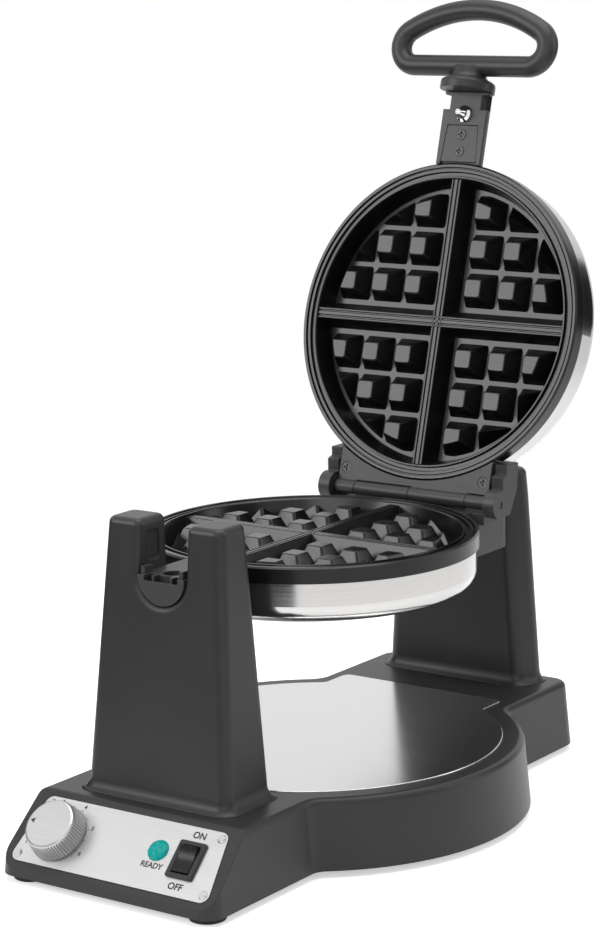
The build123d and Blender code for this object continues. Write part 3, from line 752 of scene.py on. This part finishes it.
@dataclass
class WafflePlate:
    """A round cast plate with its ring grooves, pegs and cross, in millimetres."""

    rim_profile: Tuple[Tuple[float, float], ...] = (
        (86.5, -14.0),
        (90.2, -1.0),
        (90.7, -0.4),
        (91.6, -0.4),
        (92.1, -2.4),
        (94.1, -2.4),
        (94.6, -0.7),
        (96.3, -0.7),
        (96.6, -1.5),
        (97.1, -1.5),
        (97.4, 0.0),
        (99.0, 0.0),
        (100.0, -1.0),
        (100.0, -9.5),
        (96.6, -9.5),
        (95.0, -18.5),
    )
    floor_depth: float = 14.0
    peg_depth: float = 2.0
    peg_top: float = 11.2
    peg_foot: float = 21.6
    peg_corner: float = 1.6
    peg_edge: float = 0.45
    peg_first: float = 22.2
    peg_pitch: float = 24.57
    outline_foot: float = 84.2
    outline_top: float = 78.2
    bar_profile: Tuple[Tuple[float, float], ...] = (
        (8.0, -14.1),
        (3.4, -2.1),
        (3.1, -1.8),
        (2.3, -1.8),
        (1.9, -2.7),
        (1.3, -2.7),
        (0.9, -1.8),
    )
    bar_half: float = 90.0
    steps: int = 180
    cut_step: float = 3.0
    cuts_each_side: int = 6

    def ring(self) -> bmesh.types.BMesh:
        """Makes the round plate with its floor, sloped wall and ring grooves.

        Returns:
            The shape, face up with its face at height 0.
        """
        shape = bmesh.new()
        points = [(0.0, -self.floor_depth), *self.rim_profile, (0.0, self.rim_profile[-1][1])]
        spin_outline(shape, points, self.steps)
        return shape

    def bars(self, shape: bmesh.types.BMesh) -> None:
        """Adds the two grooved bars of the cross.

        Args:
            shape: The shape that they join.
        """
        left = [(-across, height) for across, height in reversed(self.bar_profile)]
        outline = [*self.bar_profile, *left]
        for turn in (0.0, math.pi / 2):
            spin = Matrix.Rotation(turn, 4, "Z")
            ends = []
            for along in (-self.bar_half, self.bar_half):
                spots = [spin @ Vector((along, across, height)) for across, height in outline]
                ends.append([shape.verts.new(spot) for spot in spots])
            count = len(outline)
            for number in range(count):
                after = (number + 1) % count
                shape.faces.new((ends[0][number], ends[0][after], ends[1][after], ends[1][number]))
            shape.faces.new(ends[0])
            shape.faces.new(list(reversed(ends[1])))

    def peg(self, across: float, along: float) -> bmesh.types.BMesh:
        """Makes one blunt peg, cut by the slope of the round outline.

        Args:
            across: Place of its middle along X.
            along: Place of its middle along Y.

        Returns:
            The peg.
        """
        peg = bmesh.new()
        bmesh.ops.create_cube(peg, size=1.0)
        for vert in peg.verts:
            high = vert.co.z > 0
            width = self.peg_top if high else self.peg_foot
            height = -self.peg_depth if high else -self.floor_depth - 0.1
            vert.co = Vector((vert.co.x * width, vert.co.y * width, height))
        corners = [edge for edge in peg.edges if abs(edge.verts[0].co.z - edge.verts[1].co.z) > 1.0]
        bmesh.ops.bevel(
            peg, geom=corners, offset=self.peg_corner, offset_type="OFFSET", segments=3, profile=0.5,
            affect="EDGES", material=-1)
        bmesh.ops.translate(peg, vec=(across, along, 0.0), verts=peg.verts)
        heading = math.atan2(along, across)
        lean = (self.outline_foot - self.outline_top) / (self.floor_depth - self.peg_depth)
        for step in range(-self.cuts_each_side, self.cuts_each_side + 1):
            angle = heading + math.radians(self.cut_step * step)
            out = Vector((math.cos(angle), math.sin(angle), 0.0))
            bmesh.ops.bisect_plane(
                peg, geom=peg.verts[:] + peg.edges[:] + peg.faces[:], dist=MERGE_DISTANCE,
                plane_co=self.outline_foot * out - Vector((0.0, 0.0, self.floor_depth)),
                plane_no=(out + Vector((0.0, 0.0, lean))).normalized(), clear_outer=True)
            gap = [edge for edge in peg.edges if edge.is_boundary]
            if gap:
                bmesh.ops.holes_fill(peg, edges=gap, sides=0)
        level = -self.peg_depth - 0.01
        top = [edge for edge in peg.edges if min(vert.co.z for vert in edge.verts) > level]
        bmesh.ops.bevel(
            peg, geom=top, offset=self.peg_edge, offset_type="OFFSET", segments=2, profile=0.5,
            affect="EDGES", clamp_overlap=True, material=-1)
        return peg

    def spots(self) -> List[Tuple[float, float]]:
        """Lists where the pegs stand.

        Returns:
            The middle of each peg.
        """
        rows = [self.peg_first + self.peg_pitch * number for number in range(3)]
        reach = self.outline_top + 0.2 * self.peg_foot
        inset = self.peg_top / 2
        quarter = [(x, y) for x in rows for y in rows if math.hypot(x - inset, y - inset) < reach]
        return [(side * x, end * y) for x, y in quarter for side in (-1, 1) for end in (-1, 1)]

    def build(self, shop: Workshop, name: str, node: str, body: Body, place: Matrix) -> None:
        """Makes one plate and puts it in place of its solid.

        Args:
            shop: The workshop.
            name: Name of the piece.
            node: The solid that it replaces.
            body: The body that it rides on.
            place: From the plate's millimetres to the object's frame in metres.
        """
        shape = self.ring()
        self.bars(shape)
        for across, along in self.spots():
            join_mesh(shape, self.peg(across, along))
        bmesh.ops.transform(shape, matrix=place, verts=shape.verts)
        piece = shop.place(name, shape, body, "coated_casting", "coated_iron")
        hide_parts(node)


@dataclass
class Irons:
    """The two round irons with their hinge, journals and handle."""

    def lid_matrix(self) -> Matrix:
        """Place of the lid's plate as it stands open.

        Returns:
            The matrix from the plate's millimetres to metres.
        """
        face_down = Matrix.Scale(-1.0, 4, (0.0, 0.0, 1.0))
        shut = Matrix.Translation((0.0, 0.0, SPLIT_HEIGHT + LID_GAP)) @ face_down
        swing = Matrix.Rotation(-math.radians(LID_ANGLE), 4, "X")
        open_lid = Matrix.Translation(HINGE) @ swing @ Matrix.Translation(-HINGE)
        return TO_METRES @ open_lid @ shut

    def build(self, shop: Workshop) -> None:
        """Adds both waffle plates.

        Args:
            shop: The workshop.
        """
        plate = WafflePlate()
        low = TO_METRES @ Matrix.Translation((0.0, 0.0, SPLIT_HEIGHT))
        plate.build(shop, "lower_plate", "lower_grid", Body.IRON, low)
        plate.build(shop, "lid_plate", "upper_grid", Body.LID, self.lid_matrix())

    def dress(self, shop: Workshop) -> None:
        """Paints both irons.

        Args:
            shop: The workshop.
        """
        shop.paint(["lower_grid", "upper_grid"], "coated_casting")
        shop.paint(["lower_housing"], "band_steel")
        shop.paint(["upper_housing"], "lid_steel")
        shop.paint(["lower_heater", "upper_heater", "retaining_ring"], "zinc")
        castings = ["front_journal", "yoke", "lid_bracket", "handle_arm", "arm_cover", "hinge_pin"]
        shop.paint(castings, "dark_casting")
        shop.paint(["bracket_screws", "arm_screws"], "screw_steel")
        shop.paint(["centring_stud"], "chrome")
        shop.paint(["handle"], "satin_plastic")


@dataclass(frozen=True)
class Softbox:
    """A soft studio light.

    Attributes:
        name: Name of the light.
        place: Where it stands, in metres.
        aim: What it points at.
        size: Its width and height.
        power: Its power in watts.
    """

    name: str
    place: Tuple[float, float, float]
    aim: Tuple[float, float, float]
    size: Tuple[float, float]
    power: float


@dataclass(frozen=True)
class Card:
    """A dark card beside the set.

    Attributes:
        name: Name of the card.
        place: Where its middle is, in metres.
        aim: What it faces.
        size: Its width and height.
    """

    name: str
    place: Tuple[float, float, float]
    aim: Tuple[float, float, float]
    size: Tuple[float, float]


@dataclass(frozen=True)
class Studio:
    """Floor, white surroundings, lights, cards and camera."""

    lights: Tuple[Softbox, ...] = (
        Softbox("top_box", (0.1, 0.1, 1.9), (0.0, 0.0, 0.2), (1.6, 1.6), 22.0),
        Softbox("right_box", (1.7, 0.9, 0.9), (0.0, 0.0, 0.2), (0.9, 1.2), 6.0),
        Softbox("left_box", (-1.1, -1.45, 0.93), (0.0, 0.1, 0.28), (1.1, 0.8), 16.0),
        Softbox("front_box", (0.7, -2.0, 1.0), (0.0, 0.0, 0.25), (1.2, 0.5), 5.0),
    )
    cards: Tuple[Card, ...] = (
        Card("left_flag", (-0.48, -0.12, 0.15), (0.0, 0.0, 0.15), (0.6, 0.30)),
        Card("corner_flag", (-0.36, -0.46, 0.15), (0.0, 0.0, 0.15), (0.5, 0.30)),
        Card("front_flag", (0.02, -0.58, 0.12), (0.0, 0.0, 0.12), (0.5, 0.24)),
        Card("right_flag", (1.1, 0.12, 0.35), (0.0, 0.1, 0.3), (0.7, 0.5)),
        Card("back_flag", (0.40, 0.80, 0.42), (0.0, 0.1, 0.3), (0.4, 0.5)),
    )
    camera_place: Tuple[float, float, float] = (0.9263857, -1.3012468, 0.5243426)
    camera_right: Tuple[float, float, float] = (0.81465456, 0.57964653, -0.01865064)
    camera_up: Tuple[float, float, float] = (-0.09682632, 0.16765007, 0.98108008)
    camera_lens: float = 107.3346
    floor_glow: float = 0.52
    floor_near: float = 0.35
    floor_far: float = 1.1

    def seen_rays(self, nodes: Nodes) -> bpy.types.NodeSocket:
        """Tells the rays that show the background from those that only light.

        Args:
            nodes: Helper of the material or world.

        Returns:
            One for camera, glossy and transmission rays, and none for the others.
        """
        path = nodes.add("ShaderNodeLightPath")
        seen = path.outputs["Is Camera Ray"]
        for kind in ("Is Glossy Ray", "Is Transmission Ray"):
            higher = nodes.add("ShaderNodeMath", operation="MAXIMUM")
            nodes.link(seen, higher.inputs[0])
            nodes.link(path.outputs[kind], higher.inputs[1])
            seen = higher.outputs["Value"]
        return seen

    def floor(self) -> None:
        """Lays the floor, which is pure white away from the object's shadow."""
        shape = bmesh.new()
        bmesh.ops.create_grid(shape, x_segments=2, y_segments=2, size=6.0)
        data = bpy.data.meshes.new("floor")
        shape.to_mesh(data)
        shape.free()
        ground = bpy.data.objects.new("floor", data)
        bpy.context.scene.collection.objects.link(ground)
        material = bpy.data.materials.new("floor_white")
        material.use_nodes = True
        nodes = Nodes(material)
        nodes.tree.nodes.remove(nodes.tree.nodes["Principled BSDF"])
        span = nodes.add("ShaderNodeVectorMath", operation="LENGTH")
        nodes.link(nodes.add("ShaderNodeTexCoord").outputs["Object"], span.inputs[0])
        far = nodes.add("ShaderNodeMapRange", interpolation_type="SMOOTHSTEP")
        far.inputs["From Min"].default_value = self.floor_near
        far.inputs["From Max"].default_value = self.floor_far
        nodes.link(span.outputs["Value"], far.inputs["Value"])
        paper = nodes.add("ShaderNodeBsdfDiffuse")
        paper.inputs["Color"].default_value = (0.90, 0.90, 0.90, 1.0)
        glow = nodes.add("ShaderNodeEmission")
        glow.inputs["Strength"].default_value = self.floor_glow
        shaded = nodes.add("ShaderNodeAddShader")
        nodes.link(paper.outputs["BSDF"], shaded.inputs[0])
        nodes.link(glow.outputs["Emission"], shaded.inputs[1])
        white = nodes.add("ShaderNodeEmission")
        fade = nodes.add("ShaderNodeMixShader")
        nodes.link(far.outputs["Result"], fade.inputs["Fac"])
        nodes.link(shaded.outputs["Shader"], fade.inputs[1])
        nodes.link(white.outputs["Emission"], fade.inputs[2])
        choice = nodes.add("ShaderNodeMixShader")
        nodes.link(self.seen_rays(nodes), choice.inputs["Fac"])
        nodes.link(paper.outputs["BSDF"], choice.inputs[1])
        nodes.link(fade.outputs["Shader"], choice.inputs[2])
        nodes.link(choice.outputs["Shader"], nodes.tree.nodes["Material Output"].inputs["Surface"])
        data.materials.append(material)

    def flags(self) -> None:
        """Stands dark cards beside the set, which only show as reflections."""
        material = bpy.data.materials.new("flag_black")
        material.use_nodes = True
        nodes = Nodes(material)
        nodes.tree.nodes.remove(nodes.tree.nodes["Principled BSDF"])
        felt = nodes.add("ShaderNodeBsdfDiffuse")
        felt.inputs["Color"].default_value = (0.01, 0.01, 0.01, 1.0)
        nodes.link(felt.outputs["BSDF"], nodes.tree.nodes["Material Output"].inputs["Surface"])
        for card in self.cards:
            shape = bmesh.new()
            bmesh.ops.create_grid(shape, x_segments=1, y_segments=1, size=0.5)
            bmesh.ops.scale(shape, vec=(card.size[0], card.size[1], 1.0), verts=shape.verts)
            turn = (Vector(card.aim) - Vector(card.place)).to_track_quat("Z", "Y").to_matrix().to_4x4()
            bmesh.ops.transform(shape, matrix=Matrix.Translation(card.place) @ turn, verts=shape.verts)
            data = bpy.data.meshes.new(card.name)
            shape.to_mesh(data)
            shape.free()
            data.materials.append(material)
            screen = bpy.data.objects.new(card.name, data)
            bpy.context.scene.collection.objects.link(screen)
            screen.visible_camera = False
            screen.visible_diffuse = False
            screen.visible_shadow = False

    def surroundings(self) -> None:
        """Makes the world white to the eye and in reflections, and grey as a light."""
        world = bpy.data.worlds.new("studio")
        bpy.context.scene.world = world
        world.use_nodes = True
        nodes = Nodes(world)
        nodes.tree.nodes.clear()
        out = nodes.add("ShaderNodeOutputWorld")
        white = nodes.add("ShaderNodeBackground")
        white.inputs["Color"].default_value = (1.0, 1.0, 1.0, 1.0)
        white.inputs["Strength"].default_value = 1.0
        grey = nodes.add("ShaderNodeBackground")
        grey.inputs["Color"].default_value = (0.9, 0.92, 0.95, 1.0)
        grey.inputs["Strength"].default_value = 0.45
        mix = nodes.add("ShaderNodeMixShader")
        nodes.link(self.seen_rays(nodes), mix.inputs["Fac"])
        nodes.link(grey.outputs["Background"], mix.inputs[1])
        nodes.link(white.outputs["Background"], mix.inputs[2])
        nodes.link(mix.outputs["Shader"], out.inputs["Surface"])

    def lamps(self) -> None:
        """Hangs the soft lights."""
        for box in self.lights:
            data = bpy.data.lights.new(box.name, "AREA")
            data.shape = "RECTANGLE"
            data.size, data.size_y = box.size
            data.energy = box.power
            lamp = bpy.data.objects.new(box.name, data)
            lamp.location = box.place
            heading = Vector(box.aim) - Vector(box.place)
            lamp.rotation_euler = heading.to_track_quat("-Z", "Y").to_euler()
            bpy.context.scene.collection.objects.link(lamp)
            log.info("light %s at %s", box.name, box.place)

    def camera(self) -> None:
        """Stands the camera where the photograph was taken from."""
        data = bpy.data.cameras.new("camera")
        data.lens = self.camera_lens
        data.sensor_width = 36.0
        data.clip_end = 50.0
        right = Vector(self.camera_right).normalized()
        back = right.cross(Vector(self.camera_up)).normalized()
        up = back.cross(right)
        turn = Matrix((right, up, back)).transposed().to_4x4()
        camera = bpy.data.objects.new("camera", data)
        camera.matrix_world = Matrix.Translation(self.camera_place) @ turn
        bpy.context.scene.collection.objects.link(camera)
        bpy.context.scene.camera = camera

    def build(self) -> None:
        """Sets up the whole studio."""
        self.floor()
        self.flags()
        self.surroundings()
        self.lamps()
        self.camera()
        bpy.context.scene.view_settings.view_transform = "Standard"


def main() -> None:
    """Loads the frame, dresses it and sets up the studio."""
    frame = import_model()
    shop = Workshop(frame)
    for part in (ControlPanel(), BrowningKnob(), Base(), Irons()):
        part.build(shop)
    for part in (ControlPanel(), BrowningKnob(), Base(), Irons()):
        part.dress(shop)
    Studio().build()


if __name__ == "__main__":
    main()
